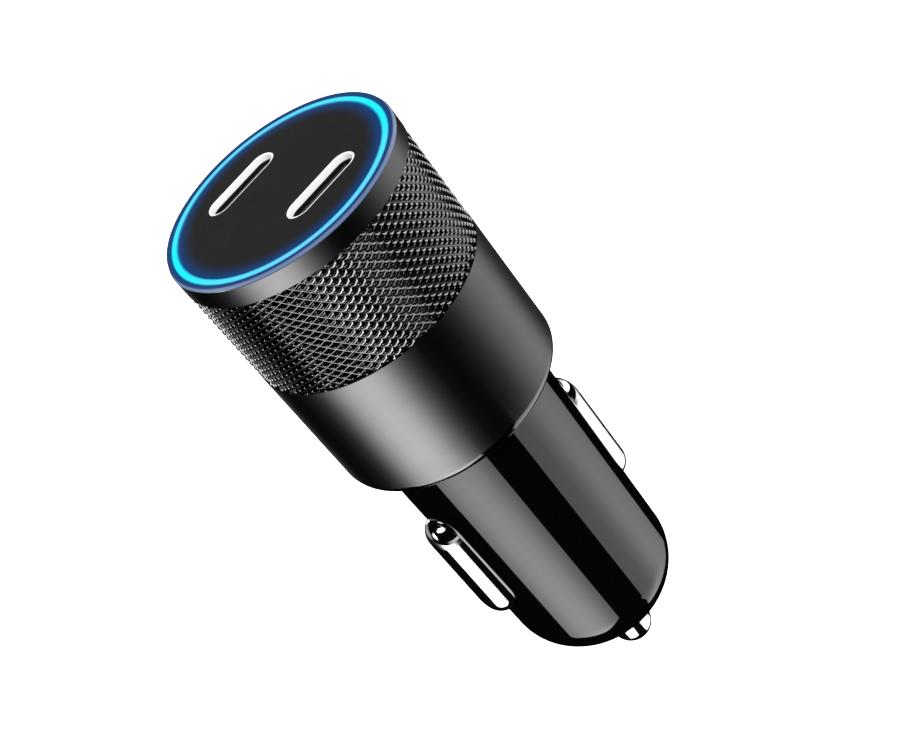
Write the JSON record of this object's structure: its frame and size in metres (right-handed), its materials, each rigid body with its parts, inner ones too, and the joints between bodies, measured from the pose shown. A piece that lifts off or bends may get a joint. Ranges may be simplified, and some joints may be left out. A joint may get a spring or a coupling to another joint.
{
  "type": "car usb charger plug",
  "caption": "Car charger plug with a knurled black barrel, glowing face ring, oblong charging ports, sprung side contacts and a sprung centre contact.",
  "frame": {"origin": "on the plug's axis, in the plane of the barrel's underside, which stops against the socket's mouth", "axes": "+Z along the axis towards the lit face, X along the ports' length and through the side contacts, +Y from the front port to the back port"},
  "size_m": [0.0266, 0.0266, 0.0773],
  "materials": {
    "anodised_barrel": "black anodised, satin, with a diamond knurl",
    "gloss_black": "polished moulding",
    "face_black": "fine satin moulding",
    "light_guide": "translucent light guide, lit blue",
    "nickel_contact": "bright nickel plate",
    "spring_steel": "drawn wire",
    "terminal_brass": "stamped",
    "board_green": "solder mask",
    "port_steel": "nickel-plated sheet",
    "port_insulator": "moulded",
    "gold_pins": "gold plate",
    "led_body": "moulded",
    "inductor_grey": "pressed powder core",
    "can_aluminium": "drawn can",
    "chip_black": "moulded",
    "fuse_white": "moulded",
    "ceramic_tan": "fired",
    "lead_sleeve": "wire sleeve"
  },
  "bodies": {
    "charger": {"barrel_shell": "anodised_barrel", "ceramic_capacitors": "ceramic_tan", "converter_chip": "chip_black", "face_plate": "face_black", "ground_lead_left": "lead_sleeve", "ground_lead_right": "lead_sleeve", "inductor_a": "inductor_grey", "inductor_b": "inductor_grey", "input_capacitor": "can_aluminium", "input_fuse": "fuse_white", "light_ring": "light_guide", "link_pins": "gold_pins", "main_board": "board_green", "output_capacitor_a": "can_aluminium", "output_capacitor_b": "can_aluminium", "plug_body": "gloss_black", "port_board": "board_green", "port_controllers": "chip_black", "port_pins_back": "gold_pins", "port_pins_front": "gold_pins", "port_shell_back": "port_steel", "port_shell_front": "port_steel", "port_tongue_back": "port_insulator", "port_tongue_front": "port_insulator", "ring_leds": "led_body", "surge_diode": "chip_black", "switch_transistors": "chip_black", "tip_spring": "spring_steel", "tip_terminal": "terminal_brass"},
    "left_contact": {"side_contact_left": "nickel_contact"},
    "right_contact": {"side_contact_right": "nickel_contact"},
    "tip_contact": {"centre_contact": "nickel_contact"}
  },
  "joints": [
    {"name": "left_contact_press", "type": "slide", "parent": "charger", "child": "left_contact", "axis": [1, 0, 0], "range_m": [0, 0.0017], "stiffness_N_per_m": 800, "springref_m": -0.001},
    {"name": "right_contact_press", "type": "slide", "parent": "charger", "child": "right_contact", "axis": [-1, 0, 0], "range_m": [0, 0.0017], "stiffness_N_per_m": 800, "springref_m": -0.001},
    {"name": "tip_contact_press", "type": "slide", "parent": "charger", "child": "tip_contact", "axis": [0, 0, 1], "range_m": [0, 0.003], "stiffness_N_per_m": 500, "springref_m": -0.004, "deforming": ["tip_spring"]}
  ]
}
